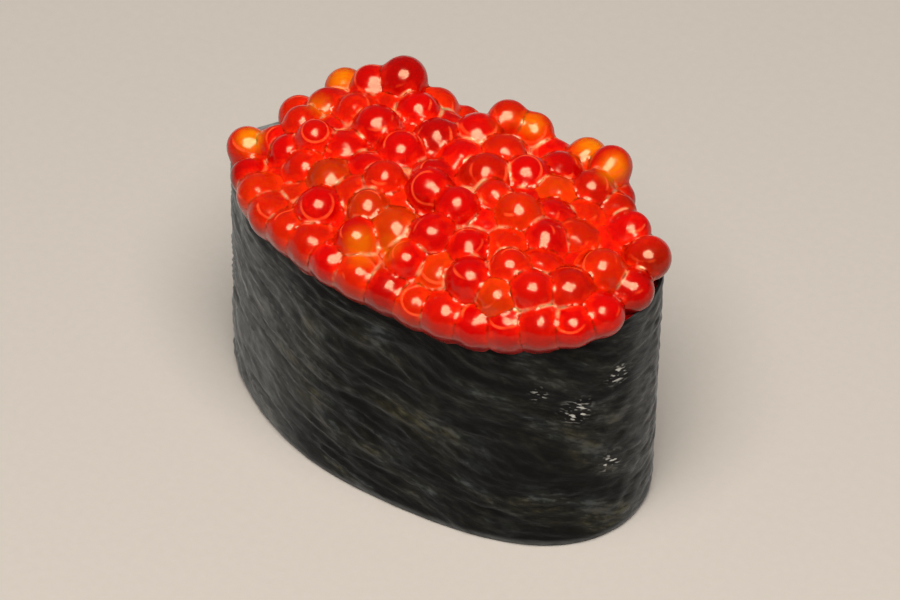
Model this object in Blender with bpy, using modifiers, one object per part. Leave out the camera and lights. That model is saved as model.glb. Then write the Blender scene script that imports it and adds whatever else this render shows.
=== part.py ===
"""Salmon roe gunkan: a boat-shaped sushi of pressed rice in a nori band, heaped with salmon eggs.

The long side lies along X, with the tapered end at -X and the blunt end at +X.
Everything is in metres, +Z up, and the sushi stands on z = 0.
"""
import bpy
import numpy as np

MM = 0.001

# The nori band
HALF_LENGTH = 27.5 * MM       # middle of the oval to the band's outer face at either end
HALF_WIDTH = 14.9 * MM        # middle of the oval to the band's outer face at either side
TAPERED_END = 1.33            # exponent of the oval at -X: a low one is slender
BLUNT_END = 3.0               # exponent of the oval at +X: a high one is full
NORI_HEIGHT = 31.0 * MM       # rim above the table at the middle of the length
RIM_RISE = 1.3 * MM           # the strip lies askew: its rim climbs by this towards +X
RIM_SAG = 1.8 * MM            # the rim sinks this much under the eggs at the front
SAG_CENTRE = 12.0 * MM        # where along X it sinks most
SAG_REACH = 11.0 * MM         # and how far to each side it is still felt
NORI_THICKNESS = 0.4 * MM
LAP_START = 0.3               # the strip's inner end, as a fraction of the way round from +X
LAP_LENGTH = 12.0 * MM        # the outer end of the strip covers the inner end by this much
LAP_RAMP = 8.0 * MM           # run over which the outer end climbs on to the inner one
LAP_GAP = 0.2 * MM            # air left between the two layers
GAP = 0.3 * MM                # clearance between pieces that touch

# The rice
RICE_TOP = 22.0 * MM          # top of the rice at the wall
RICE_CROWN = 1.5 * MM         # the middle stands this much higher
RICE_LUMP = 0.4 * MM          # unevenness of the top
RICE_LUMP_RUN = 1.6 * MM      # length that sets how close the lumps are
RICE_ROUND = 1.2 * MM         # rounding of the lower edge

# The heap of salmon eggs
EGG_COUNT = 215               # worked out one by one; those beneath are only filled
EGG_SMALLEST = 4.0 * MM       # diameters
EGG_LARGEST = 5.5 * MM
EGG_SQUEEZE = 0.9             # pressed neighbours sit this fraction of their two radii apart
EGG_SEED = 39
SETTLE_STEPS = 260            # rounds of pushing apart and sinking
HEAP_FLOOR = 27.0 * MM        # single eggs are worked out down to this height
HEAP_EDGE = 5.4 * MM          # top of the eggs that sit on the rim, above it
HEAP_RISE = 3.2 * MM          # the middle of the heap stands this much higher
HEAP_ROUNDNESS = 2.2          # a high one keeps the heap flat until near the rim
HEAP_OVERHANG = 1.5 * MM      # the eggs lean out over the rim by this much
HEAP_UNEVEN = 0.5 * MM        # spread of how far single eggs stand in or out
HUMP_PLACE = (-16.0 * MM, 9.0 * MM)
HUMP_HEIGHT = 3.0 * MM        # a hump at the back of the tapered end
HUMP_REACH = 4.5 * MM
TAPERED_DROP = 4.0 * MM       # the heap falls away by this much at the very ends
BLUNT_DROP = 2.6 * MM
FILL_DEPTH = 1.6 * MM         # between the eggs the heap dips no deeper than this
FILL_INSET = 0.5 * MM         # and its filled middle keeps this far inside the band
LEAST_LEDGE = 0.5 * MM        # the heap covers the rim by this much where no egg overhangs it
# Eggs that stand out of the outline: x, y, height of the middle above the rim, diameter
STANDING_EGGS = (
    (-13.0 * MM, 11.6 * MM, 7.1 * MM, 5.4 * MM),
    (-20.1 * MM, 10.1 * MM, 3.7 * MM, 4.8 * MM),
    (-16.3 * MM, 9.8 * MM, 6.1 * MM, 4.6 * MM),
    (0.0 * MM, 13.5 * MM, 5.4 * MM, 4.7 * MM),
    (3.1 * MM, 14.3 * MM, 4.5 * MM, 4.4 * MM),
    (10.3 * MM, 14.2 * MM, 3.8 * MM, 4.8 * MM),
    (14.3 * MM, 12.9 * MM, 5.3 * MM, 4.8 * MM),
    (15.9 * MM, 11.6 * MM, 2.0 * MM, 4.4 * MM),
    (21.0 * MM, 6.7 * MM, 3.2 * MM, 4.5 * MM),
    (25.1 * MM, 3.9 * MM, 3.1 * MM, 5.1 * MM),
    (-25.0 * MM, -2.4 * MM, 1.4 * MM, 4.7 * MM),
)
# Eggs in the close row that rests on the front of the rim
LIP_EGGS = 14
LIP_FROM = 0.6                # where the row runs, as fractions of the way round from +X
LIP_TO = 0.955
LIP_EGG = 4.6 * MM            # mean diameter
LIP_UNEVEN = 0.35 * MM
LIP_OVERHANG = 1.6 * MM
LIP_SINK = 0.3 * MM           # they sag over the rim by this much

# Mesh density
NORMAL_STEP = 0.004           # share of the way round that the outline's slope is taken over
COLUMNS = 108                 # round the rice and the heap
BASE_SHARES = (0.5,)          # rings of the flat base, as shares of its size
ROUND_TURNS = (0.0, 45.0, 90.0)  # rings of the rounded lower edge, in degrees
TOP_SHARES = (1.0, 0.85, 0.65, 0.45, 0.22)  # rings of the top of the rice
FAN_ROWS = 10                 # rows of the heap from the rim round to its top
FAN_SHARE = 0.86              # they are measured from an oval of this share of the band's size
UPRIGHT_ROWS = 14             # rows from there to the middle
FILL_STEP = 0.1 * MM          # the filled middle is measured in steps of this
FILL_REACH = 12.0 * MM        # and no further than this
SHARP_ANGLE = 40.0            # edges that turn by more degrees than this are crisp
STRIP_COLUMNS = 108           # along the nori strip
STRIP_ROWS = 4                # up the nori strip


def oval_exponent(x):
    """Fullness of the oval at x, from the tapered end to the blunt one."""
    along = np.clip(x / HALF_LENGTH, -1.0, 1.0)
    return TAPERED_END + (BLUNT_END - TAPERED_END) * 0.5 * (1.0 + along)


def oval_size(x, y, inset=0.0):
    """1 on the outline of the band moved in by inset, less inside it, more outside."""
    lengthwise = np.abs(x / (HALF_LENGTH - inset)) ** oval_exponent(x)
    crosswise = (y / (HALF_WIDTH - inset)) ** 2
    return np.sqrt(lengthwise + crosswise)


def oval_path(fractions):
    """Points of the band's outer face at fractions of the way round, anticlockwise from +X.

    The second result is the outward normal at each point.
    """
    turn = np.linspace(0.0, 2.0 * np.pi, 4001)
    along = np.cos(turn)
    x = HALF_LENGTH * along
    fullness = np.maximum(1.0 - np.abs(along) ** oval_exponent(x), 0.0)
    y = HALF_WIDTH * np.sign(np.sin(turn)) * np.sqrt(fullness)
    run = np.concatenate([[0.0], np.cumsum(np.hypot(np.diff(x), np.diff(y)))])
    run = run / run[-1]

    def at(share):
        share = share % 1.0
        return np.stack([np.interp(share, run, x), np.interp(share, run, y)], axis=1)

    ahead = at(fractions + NORMAL_STEP) - at(fractions - NORMAL_STEP)
    normals = np.stack([ahead[:, 1], -ahead[:, 0]], axis=1)
    return at(fractions), normals / np.linalg.norm(normals, axis=1)[:, None]


def oval_length():
    """Way round the band's outer face."""
    points, _ = oval_path(np.arange(2000) / 2000.0)
    return np.linalg.norm(points - np.roll(points, 1, axis=0), axis=1).sum()


def rim_lift(x, y):
    """Height of the band's rim above NORI_HEIGHT at x, y."""
    slope = RIM_RISE * x / HALF_LENGTH
    front = np.clip(-y / HALF_WIDTH, 0.0, 1.0)
    return slope - RIM_SAG * front * np.exp(-((x - SAG_CENTRE) / SAG_REACH) ** 2)


def heap_top(x, y):
    """Height that the tops of the eggs reach above the rim."""
    inward = 1.0 - np.minimum(oval_size(x, y), 1.0) ** HEAP_ROUNDNESS
    away = (x - HUMP_PLACE[0]) ** 2 + (y - HUMP_PLACE[1]) ** 2
    hump = np.exp(-away / (2.0 * HUMP_REACH ** 2))
    tapered = np.clip((-x / HALF_LENGTH - 0.62) / 0.38, 0.0, 1.0)
    blunt = np.clip((x / HALF_LENGTH - 0.72) / 0.28, 0.0, 1.0)
    top = HEAP_EDGE + HEAP_RISE * inward + HUMP_HEIGHT * hump
    return top - TAPERED_DROP * tapered - BLUNT_DROP * blunt


def lip_eggs():
    """The row on the front of the rim: x, y, height of the middle above the rim, diameter."""
    number = np.arange(LIP_EGGS)
    diameter = LIP_EGG + LIP_UNEVEN * np.sin(2.4 * number + 1.0)
    points, normals = oval_path(LIP_FROM + (LIP_TO - LIP_FROM) * number / (LIP_EGGS - 1))
    inset = 0.5 * diameter - LIP_OVERHANG - 0.25 * MM * np.sin(1.7 * number)
    resting = np.sqrt((0.465 * diameter) ** 2 - inset ** 2)
    height = resting - LIP_SINK + 0.2 * MM * np.sin(3.1 * number + 0.5)
    return np.column_stack([points - inset[:, None] * normals, height, diameter])


def settle_eggs():
    """Middles and radii of the eggs, after they have settled into the band.

    Every round, eggs that overlap push each other apart, all sink a little, and those that
    have left the heap, the rim or the rice are put back. The standing eggs and the row
    on the rim keep their places.
    Heights are measured from a level rim until the end, when rim_lift tilts the whole heap.
    """
    rng = np.random.default_rng(EGG_SEED)
    radius = rng.uniform(EGG_SMALLEST, EGG_LARGEST, EGG_COUNT) / 2.0
    turn = rng.uniform(0.0, 2.0 * np.pi, EGG_COUNT)
    spread = 0.85 * np.sqrt(rng.uniform(0.0, 1.0, EGG_COUNT))
    x = HALF_LENGTH * spread * np.cos(turn)
    y = HALF_WIDTH * spread * np.sin(turn)
    z = rng.uniform(-3.0 * MM, 8.0 * MM, EGG_COUNT)
    stand_up = rng.normal(0.0, HEAP_UNEVEN, EGG_COUNT)
    stand_out = rng.normal(0.0, HEAP_UNEVEN, EGG_COUNT)
    every = np.arange(EGG_COUNT)
    places = np.concatenate([np.array(STANDING_EGGS), lip_eggs()])
    fixed = every < len(places)
    x[fixed], y[fixed], z[fixed] = places[:, 0], places[:, 1], places[:, 2]
    radius[fixed] = places[:, 3] / 2.0
    rim, _ = oval_path(np.arange(180) / 180.0)
    rim = rim * (1.0 - 0.5 * NORI_THICKNESS / HALF_WIDTH)
    floor = HEAP_FLOOR - NORI_HEIGHT + 0.5 * radius
    for _ in range(SETTLE_STEPS):
        # neighbours push each other apart
        centre = np.stack([x, y, z], axis=1)
        apart = centre[:, None] - centre[None]
        distance = np.sqrt((apart ** 2).sum(axis=2)) + 1e-9
        overlap = np.clip((radius[:, None] + radius[None]) * EGG_SQUEEZE - distance, 0.0, None)
        np.fill_diagonal(overlap, 0.0)
        push = 0.32 * (apart * (overlap / distance)[..., None]).sum(axis=1)
        push[fixed] = 0.0
        x, y, z = (centre + push).T
        # they sink, and stay within the heap's outline
        z = np.where(fixed, z, z - 0.02 * MM)
        size = oval_size(x, y, radius - HEAP_OVERHANG - stand_out)
        pull = np.where((size > 1.0) & ~fixed, 1.0 / size, 1.0)
        x, y = x * pull, y * pull
        z = np.where(fixed, z, np.minimum(z, heap_top(x, y) + stand_up - radius))
        z = np.maximum(z, floor)
        # those below the rim stay inside the band
        size = oval_size(x, y, NORI_THICKNESS + 0.95 * radius)
        pull = np.where((z < -0.2 * radius) & (size > 1.0) & ~fixed, 1.0 / size, 1.0)
        x, y = x * pull, y * pull
        # and those on the rim are pushed off its edge
        side_x = x[:, None] - rim[None, :, 0]
        side_y = y[:, None] - rim[None, :, 1]
        squared = side_x ** 2 + side_y ** 2
        nearest = squared.argmin(axis=1)
        reach = np.sqrt(squared[every, nearest] + z ** 2) + 1e-9
        lift = np.where(fixed, 0.0, np.clip(0.92 * radius - reach, 0.0, None)) / reach
        x = x + side_x[every, nearest] * lift
        y = y + side_y[every, nearest] * lift
        z = z + np.abs(z) * lift
    return np.stack([x, y, z], axis=1), radius


def rice_top(x, y):
    """Height of the uneven top of the rice."""
    crown = RICE_CROWN * (1.0 - np.minimum(oval_size(x, y), 1.0) ** 2)
    lumps = np.sin(x / RICE_LUMP_RUN + 0.7) * np.cos(y / RICE_LUMP_RUN - 0.4)
    return RICE_TOP + crown + RICE_LUMP * lumps


def wall_ring(inset, height):
    """Ring of points inside the band, inset from its outer face, at the given height or heights."""
    points, normals = oval_path(np.arange(COLUMNS) / COLUMNS)
    plan = points - inset * normals
    return np.column_stack([plan, np.broadcast_to(height, COLUMNS)])


def shrunken_ring(inset, share):
    """Ring on the floor: the wall ring drawn in towards the middle to a share of its size."""
    return wall_ring(inset, 0.0) * share


def put_round_globe(name, rings, bottom, top):
    """Closed body: a globe whose rows of vertices are moved to rings, from the bottom one up."""
    rows = len(rings) + 1
    bpy.ops.mesh.primitive_uv_sphere_add(segments=COLUMNS, ring_count=rows, radius=1.0)
    body = bpy.context.object
    body.name = name
    body.data.name = name
    for vertex in body.data.vertices:
        x, y, z = vertex.co
        row = round(rows * (1.0 - np.arccos(np.clip(z, -1.0, 1.0)) / np.pi))
        column = round(COLUMNS * np.arctan2(y, x) / (2.0 * np.pi)) % COLUMNS
        if row == 0:
            vertex.co = bottom
        elif row == rows:
            vertex.co = top
        else:
            vertex.co = rings[row - 1][column]
    body.data.shade_smooth()
    return body


def build_nori_wrap():
    """One strip of nori, wound once round the rice and a little over its own start."""
    bpy.ops.mesh.primitive_grid_add(x_subdivisions=STRIP_COLUMNS, y_subdivisions=STRIP_ROWS, size=1.0)
    strip = bpy.context.object
    strip.name = "nori_wrap"
    strip.data.name = "nori_wrap"
    round_length = oval_length()
    flat = np.array([vertex.co for vertex in strip.data.vertices]) + 0.5
    run = flat[:, 0] * (round_length + LAP_LENGTH)
    plan, normals = oval_path(LAP_START + run / round_length)
    climb = np.clip((run - round_length + LAP_RAMP) / LAP_RAMP, 0.0, 1.0)
    climb = climb * climb * (3.0 - 2.0 * climb)
    outer = plan + normals * (climb * (NORI_THICKNESS + LAP_GAP))[:, None]
    height = flat[:, 1] * (NORI_HEIGHT + rim_lift(plan[:, 0], plan[:, 1]))
    for vertex, place in zip(strip.data.vertices, np.column_stack([outer, height])):
        vertex.co = place
    solidify = strip.modifiers.new("thickness", "SOLIDIFY")
    solidify.thickness = NORI_THICKNESS
    solidify.offset = -1.0
    solidify.use_even_offset = True
    bpy.ops.object.modifier_apply(modifier=solidify.name)
    bpy.ops.object.shade_smooth_by_angle(angle=np.radians(SHARP_ANGLE))
    return strip


def build_rice():
    """The pressed bed of rice: flat beneath, upright at the sides, lumpy on top."""
    inset = NORI_THICKNESS + GAP
    rings = [shrunken_ring(inset + RICE_ROUND, share) for share in BASE_SHARES]
    for turn in np.radians(ROUND_TURNS):
        height = RICE_ROUND * (1.0 - np.cos(turn))
        rings.append(wall_ring(inset + RICE_ROUND * (1.0 - np.sin(turn)), height))
    for share in TOP_SHARES:
        ring = shrunken_ring(inset, share)
        ring[:, 2] = rice_top(ring[:, 0], ring[:, 1])
        rings.append(ring)
    return put_round_globe("rice", rings, (0.0, 0.0, 0.0), (0.0, 0.0, rice_top(0.0, 0.0)))


def heap_rays():
    """Starts and unit directions of the rays that measure the heap, row by row from the rim up.

    The lowest rows fan out from level to upright round an oval inside the rim, and the others
    rise straight up from ever smaller ovals.
    """
    wall = wall_ring(NORI_THICKNESS + GAP, 0.0)
    outward = wall / np.linalg.norm(wall, axis=1)[:, None]
    upward = np.array([0.0, 0.0, 1.0])
    starts = []
    directions = []
    for turn in np.linspace(0.0, 0.5 * np.pi, FAN_ROWS):
        starts.append(wall * FAN_SHARE)
        directions.append(outward * np.cos(turn) + upward * np.sin(turn))
    for share in np.linspace(FAN_SHARE, 0.0, UPRIGHT_ROWS + 2)[1:-1]:
        starts.append(wall * share)
        directions.append(np.tile(upward, (COLUMNS, 1)))
    starts = np.array(starts)
    starts[:, :, 2] = GAP
    return starts, np.array(directions)


def heap_reach(starts, directions, eggs, radius):
    """How far along each ray the last egg ends, or the filled middle of the heap."""
    apart = eggs - starts[:, :, None]
    along = (apart * directions[:, :, None]).sum(axis=3)
    inside = radius ** 2 - (apart ** 2).sum(axis=3) + along ** 2
    reach = np.where(inside > 0.0, along + np.sqrt(np.maximum(inside, 0.0)), 0.0).max(axis=2)
    for length in np.arange(0.0, FILL_REACH, FILL_STEP):
        x, y, z = np.moveaxis(starts + directions * length, 2, 0)
        filled = (z < heap_top(x, y) - FILL_DEPTH) & (oval_size(x, y, FILL_INSET) < 1.0)
        reach = np.where(filled, np.maximum(reach, length), reach)
    return reach


def build_roe():
    """The heap of eggs as one body, from the top of the rice out to the skins of the outer eggs."""
    inset = NORI_THICKNESS + GAP
    rings = []
    for share in TOP_SHARES[::-1]:
        ring = shrunken_ring(inset, share)
        ring[:, 2] = rice_top(ring[:, 0], ring[:, 1]) + GAP
        rings.append(ring)
    rim = wall_ring(inset, GAP)
    starts, directions = heap_rays()
    eggs, radius = settle_eggs()
    reach = heap_reach(starts, directions, eggs, radius)
    to_rim = np.linalg.norm(rim[:, :2], axis=1) * (1.0 - FAN_SHARE)
    reach[0] = np.maximum(reach[0], to_rim + LEAST_LEDGE)
    heap = starts + directions * reach[..., None]
    middle = np.array([[[0.0, 0.0, GAP]]])
    upward = np.array([[[0.0, 0.0, 1.0]]])
    peak = NORI_HEIGHT + GAP + heap_reach(middle, upward, eggs, radius)[0, 0]
    for ring in [rim, *heap]:
        ring[:, 2] += NORI_HEIGHT + rim_lift(ring[:, 0], ring[:, 1])
        rings.append(ring)
    return put_round_globe("roe", rings, (0.0, 0.0, rice_top(0.0, 0.0) + GAP), (0.0, 0.0, peak))


def plain_material(name, colour, roughness):
    """A one-colour material."""
    material = bpy.data.materials.new(name)
    material.use_nodes = True
    shader = material.node_tree.nodes["Principled BSDF"]
    shader.inputs["Base Color"].default_value = (*colour, 1.0)
    shader.inputs["Roughness"].default_value = roughness
    shader.inputs["Metallic"].default_value = 0.0
    return material


def nori_material():
    """Pressed and toasted seaweed: nearly black green, with a dull sheen."""
    return plain_material("nori", (0.014, 0.017, 0.014), 0.45)


def rice_material():
    """Boiled short-grain rice: warm white and moist."""
    return plain_material("cooked_rice", (0.80, 0.76, 0.66), 0.35)


def roe_material():
    """Salmon eggs: orange-red and wet."""
    return plain_material("salmon_roe", (0.80, 0.035, 0.006), 0.12)


def stand_in_middle(pieces):
    """Move all pieces together so that their common box is centred on z and stands on the floor."""
    points = np.concatenate([[vertex.co for vertex in piece.data.vertices] for piece in pieces])
    low = points.min(axis=0)
    high = points.max(axis=0)
    middle = np.array([0.5 * (low[0] + high[0]), 0.5 * (low[1] + high[1]), low[2]])
    for piece in pieces:
        for vertex in piece.data.vertices:
            vertex.co = np.array(vertex.co) - middle


for old in list(bpy.data.objects):
    bpy.data.objects.remove(old)
sushi = bpy.data.collections.new("salmon_roe_gunkan")
bpy.context.scene.collection.children.link(sushi)
pieces = [build_nori_wrap(), build_rice(), build_roe()]
materials = [nori_material(), rice_material(), roe_material()]
for piece, material in zip(pieces, materials):
    piece.data.materials.append(material)
    for holder in list(piece.users_collection):
        holder.objects.unlink(piece)
    sushi.objects.link(piece)
stand_in_middle(pieces)
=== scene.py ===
import math

import bpy
import numpy as np
from mathutils import Matrix, Vector


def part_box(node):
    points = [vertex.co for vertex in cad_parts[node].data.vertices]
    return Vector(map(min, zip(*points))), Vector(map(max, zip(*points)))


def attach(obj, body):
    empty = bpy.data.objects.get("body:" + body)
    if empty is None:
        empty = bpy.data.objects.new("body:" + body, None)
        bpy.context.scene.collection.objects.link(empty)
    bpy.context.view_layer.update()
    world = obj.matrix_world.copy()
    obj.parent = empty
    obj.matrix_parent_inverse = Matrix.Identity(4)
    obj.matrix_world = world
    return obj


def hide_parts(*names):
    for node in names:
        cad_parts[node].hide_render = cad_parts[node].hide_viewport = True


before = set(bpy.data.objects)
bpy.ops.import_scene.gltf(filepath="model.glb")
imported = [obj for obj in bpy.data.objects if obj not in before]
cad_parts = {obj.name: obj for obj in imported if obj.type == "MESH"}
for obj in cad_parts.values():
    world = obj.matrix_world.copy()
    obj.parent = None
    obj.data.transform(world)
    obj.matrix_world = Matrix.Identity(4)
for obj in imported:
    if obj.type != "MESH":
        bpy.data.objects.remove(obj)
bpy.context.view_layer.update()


# ---- The studio ------------------------------------------------------------------------------
# The piece stands on a pale matt floor under one broad round softbox, which hangs high and a
# little towards the camera and gives each egg its one soft highlight. A pale surround fills in.

MM = 0.001
RICE_LOW, RICE_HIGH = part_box("rice")
MIDDLE = Vector(((RICE_LOW.x + RICE_HIGH.x) / 2.0, (RICE_LOW.y + RICE_HIGH.y) / 2.0, 0.0))

VIEW_AZIMUTH = 33.4           # degrees, from -Y towards +X
VIEW_ELEVATION = 42.0         # degrees, as are the roll and the softbox's angles
VIEW_ROLL = 1.2
VIEW_DISTANCE = 600.0 * MM
VIEW_TARGET = MIDDLE + Vector((0.69, 1.29, 18.3)) * MM
LENS = 210.44                 # millimetres, on a sensor 36 wide
SENSOR = 36.0

SOFTBOX_RADIANCE = 21.5       # its brightness as seen
SOFTBOX_RADIUS = 0.3
SOFTBOX_DISTANCE = 0.75
SOFTBOX_ELEVATION = 66.0
SOFTBOX_AZIMUTH = 30.0
SOFTBOX_COLOUR = "#FFF3E6"
SURROUND_COLOUR = "#EDEEF0"
SURROUND_STRENGTH = 0.12
FLOOR_HALF = 3.0              # half the width of the paper


def linear(code):
    """sRGB hex code to linear RGBA."""
    parts = [int(code[i:i + 2], 16) / 255.0 for i in (1, 3, 5)]
    return tuple(p / 12.92 if p <= 0.04045 else ((p + 0.055) / 1.055) ** 2.4 for p in parts) + (1.0,)


def add_node(tree, kind, settings=None, inputs=None):
    """Adds a node, sets its properties, and fills its inputs with values or links them to sockets."""
    node = tree.nodes.new(kind)
    for name, value in (settings or {}).items():
        setattr(node, name, value)
    for name, value in (inputs or {}).items():
        if isinstance(value, bpy.types.NodeSocket):
            tree.links.new(value, node.inputs[name])
        else:
            node.inputs[name].default_value = value
    return node


def blend(tree, share, first, second):
    """Mixes two colours; share 0 gives the first and 1 the second."""
    node = add_node(tree, "ShaderNodeMix", {"data_type": "RGBA"}, {0: share, 6: first, 7: second})
    return node.outputs[2]


def direction(azimuth, elevation):
    """Unit vector from the piece towards azimuth and elevation in degrees; 0 is -Y, 90 is +X."""
    a, e = math.radians(azimuth), math.radians(elevation)
    return Vector((math.sin(a) * math.cos(e), -math.cos(a) * math.cos(e), math.sin(e)))


def put_camera():
    """The camera, rolled a little to the left so that the piece leans to the right."""
    back = direction(VIEW_AZIMUTH, VIEW_ELEVATION)
    level = Vector((math.cos(math.radians(VIEW_AZIMUTH)), math.sin(math.radians(VIEW_AZIMUTH)), 0.0))
    above = back.cross(level)
    roll = math.radians(VIEW_ROLL)
    right = level * math.cos(roll) + above * math.sin(roll)
    up = above * math.cos(roll) - level * math.sin(roll)
    data = bpy.data.cameras.new("camera")
    data.lens = LENS
    data.sensor_width = SENSOR
    data.clip_start = 0.01
    data.clip_end = 20.0
    camera = bpy.data.objects.new("camera", data)
    bpy.context.scene.collection.objects.link(camera)
    place = Matrix((right, up, back)).transposed().to_4x4()
    place.translation = VIEW_TARGET + back * VIEW_DISTANCE
    camera.matrix_world = place
    bpy.context.scene.camera = camera


def put_softbox():
    """A round area light aimed at the piece."""
    data = bpy.data.lights.new("softbox", "AREA")
    data.shape = "DISK"
    data.size = 2.0 * SOFTBOX_RADIUS
    data.energy = SOFTBOX_RADIANCE * math.pi * math.pi * SOFTBOX_RADIUS ** 2
    data.color = linear(SOFTBOX_COLOUR)[:3]
    lamp = bpy.data.objects.new("softbox", data)
    bpy.context.scene.collection.objects.link(lamp)
    back = direction(SOFTBOX_AZIMUTH, SOFTBOX_ELEVATION)
    lamp.location = VIEW_TARGET + back * SOFTBOX_DISTANCE
    lamp.rotation_euler = (-back).to_track_quat("-Z", "Y").to_euler()


def put_floor():
    """Seamless studio paper, pale and matt."""
    mesh = bpy.data.meshes.new("floor")
    corners = [(x * FLOOR_HALF, y * FLOOR_HALF, 0.0) for x, y in ((-1, -1), (1, -1), (1, 1), (-1, 1))]
    mesh.from_pydata(corners, [], [(0, 1, 2, 3)])
    floor = bpy.data.objects.new("floor", mesh)
    bpy.context.scene.collection.objects.link(floor)
    material = bpy.data.materials.new("studio_paper")
    material.use_nodes = True
    tree = material.node_tree
    shader = tree.nodes["Principled BSDF"]
    shader.inputs["Roughness"].default_value = 0.85
    place = add_node(tree, "ShaderNodeTexCoord").outputs["Object"]
    fibres = add_node(tree, "ShaderNodeTexNoise", inputs={"Vector": place, "Scale": 900.0, "Detail": 3.0})
    tint = blend(tree, fibres.outputs["Fac"], linear("#82817F"), linear("#868583"))
    tree.links.new(tint, shader.inputs["Base Color"])
    mesh.materials.append(material)


def put_surround():
    """Even pale light from all round."""
    world = bpy.data.worlds.new("surround")
    world.use_nodes = True
    light = world.node_tree.nodes["Background"]
    light.inputs["Color"].default_value = linear(SURROUND_COLOUR)
    light.inputs["Strength"].default_value = SURROUND_STRENGTH
    bpy.context.scene.world = world
    bpy.context.scene.view_settings.view_transform = "Standard"


put_camera()
put_softbox()
put_floor()
put_surround()


# ---- The rice --------------------------------------------------------------------------------
# A hand-pressed bed of boiled short-grain rice. Only its underside is open to view, where single
# grains lie flat and stick together; the rest is a core, because the nori and the roe cover it.

HALF_LENGTH = 27.5 * MM       # middle of the oval to the band's outer face at either end
HALF_WIDTH = 14.9 * MM
TAPERED_END = 1.33            # exponent of the oval at -X
BLUNT_END = 3.0               # exponent of the oval at +X
NORMAL_STEP = 0.004           # share of the way round over which an outward normal is taken
NORI_SOLID = 0.4 * MM         # thickness of the band that the other pieces keep clear of
GAP = 0.3 * MM
RICE_COLUMNS = 120
RICE_BASE = 1.1 * MM          # the core's underside, at the middle of the lowest grains
RICE_ROUND = 1.2 * MM
RICE_EDGE_TOP = 22.0 * MM     # the top of the bed beside the band
RICE_CROWN = 1.5 * MM         # and how much higher it is in the middle
GRAIN_LENGTH = 5.6 * MM       # a boiled short grain
GRAIN_WIDTH = 2.7 * MM
GRAIN_FLATNESS = 0.82         # height over width
GRAIN_SMALLEST = 0.88         # sizes, beside the typical grain
GRAIN_BIGGEST = 1.06
GRAIN_ROW = 2.4 * MM          # from one row of grains to the next
GRAIN_STEP = 3.75 * MM        # from one grain to the next in a row
GRAIN_UNEVEN = 0.35 * MM      # they lie higher by up to this
GRAIN_INSET = 1.0 * MM        # how far inside the outline of the band they stay
GRAIN_DETAIL = 3
GRAIN_SEED = 11


def oval_exponent(x):
    """Fullness of the oval at x, from the tapered end to the blunt one."""
    along = np.clip(x / HALF_LENGTH, -1.0, 1.0)
    return TAPERED_END + (BLUNT_END - TAPERED_END) * 0.5 * (1.0 + along)


def oval_size(x, y, inset=0.0):
    """1 on the outline of the band moved in by inset, less inside it, more outside."""
    lengthwise = np.abs(x / (HALF_LENGTH - inset)) ** oval_exponent(x)
    crosswise = (y / (HALF_WIDTH - inset)) ** 2
    return np.sqrt(lengthwise + crosswise)


def oval_path(fractions):
    """Points and outward normals of the band's outer face, as fractions of the way round from +X."""
    turn = np.linspace(0.0, 2.0 * np.pi, 4001)
    along = np.cos(turn)
    x = HALF_LENGTH * along
    fullness = np.maximum(1.0 - np.abs(along) ** oval_exponent(x), 0.0)
    y = HALF_WIDTH * np.sign(np.sin(turn)) * np.sqrt(fullness)
    run = np.concatenate([[0.0], np.cumsum(np.hypot(np.diff(x), np.diff(y)))])
    run = run / run[-1]

    def at(share):
        share = share % 1.0
        return np.stack([np.interp(share, run, x), np.interp(share, run, y)], axis=1)

    ahead = at(fractions + NORMAL_STEP) - at(fractions - NORMAL_STEP)
    normals = np.stack([ahead[:, 1], -ahead[:, 0]], axis=1)
    return at(fractions), normals / np.linalg.norm(normals, axis=1)[:, None]


def ring_body(name, rings, bottom, top):
    """Closed smooth mesh through rings of equally many points, from the bottom one up."""
    count = len(rings[0])
    points = np.concatenate([*rings, [bottom], [top]]) + np.array(MIDDLE)
    lowest, highest = len(points) - 2, len(points) - 1
    faces = []
    for row in range(len(rings) - 1):
        for column in range(count):
            after = (column + 1) % count
            here, above = row * count, (row + 1) * count
            faces.append((here + column, here + after, above + after, above + column))
    last = (len(rings) - 1) * count
    for column in range(count):
        after = (column + 1) % count
        faces.append((lowest, after, column))
        faces.append((highest, last + column, last + after))
    mesh = bpy.data.meshes.new(name)
    mesh.from_pydata(points.tolist(), [], faces)
    mesh.shade_smooth()
    body = bpy.data.objects.new(name, mesh)
    bpy.context.scene.collection.objects.link(body)
    return body


def rice_core_rings():
    """Rings of the bed: a flat base, a rounded lower edge, the wall, and the crowned top."""
    inset = NORI_SOLID + GAP
    points, normals = oval_path(np.arange(RICE_COLUMNS) / RICE_COLUMNS)
    rings = []

    def add_ring(plan, height):
        rings.append(np.column_stack([plan, np.full(RICE_COLUMNS, height)]))

    for share in (0.4, 0.75):
        add_ring((points - (inset + RICE_ROUND) * normals) * share, RICE_BASE)
    for turn in np.radians((0.0, 30.0, 60.0, 90.0)):
        shrink = inset + RICE_ROUND * (1.0 - np.sin(turn))
        add_ring(points - shrink * normals, RICE_BASE + RICE_ROUND * (1.0 - np.cos(turn)))
    for share in (1.0, 0.9, 0.7, 0.45, 0.2):
        top = RICE_EDGE_TOP - GAP + RICE_CROWN * (1.0 - share ** 2)
        add_ring((points - inset * normals) * share, top)
    return rings


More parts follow.
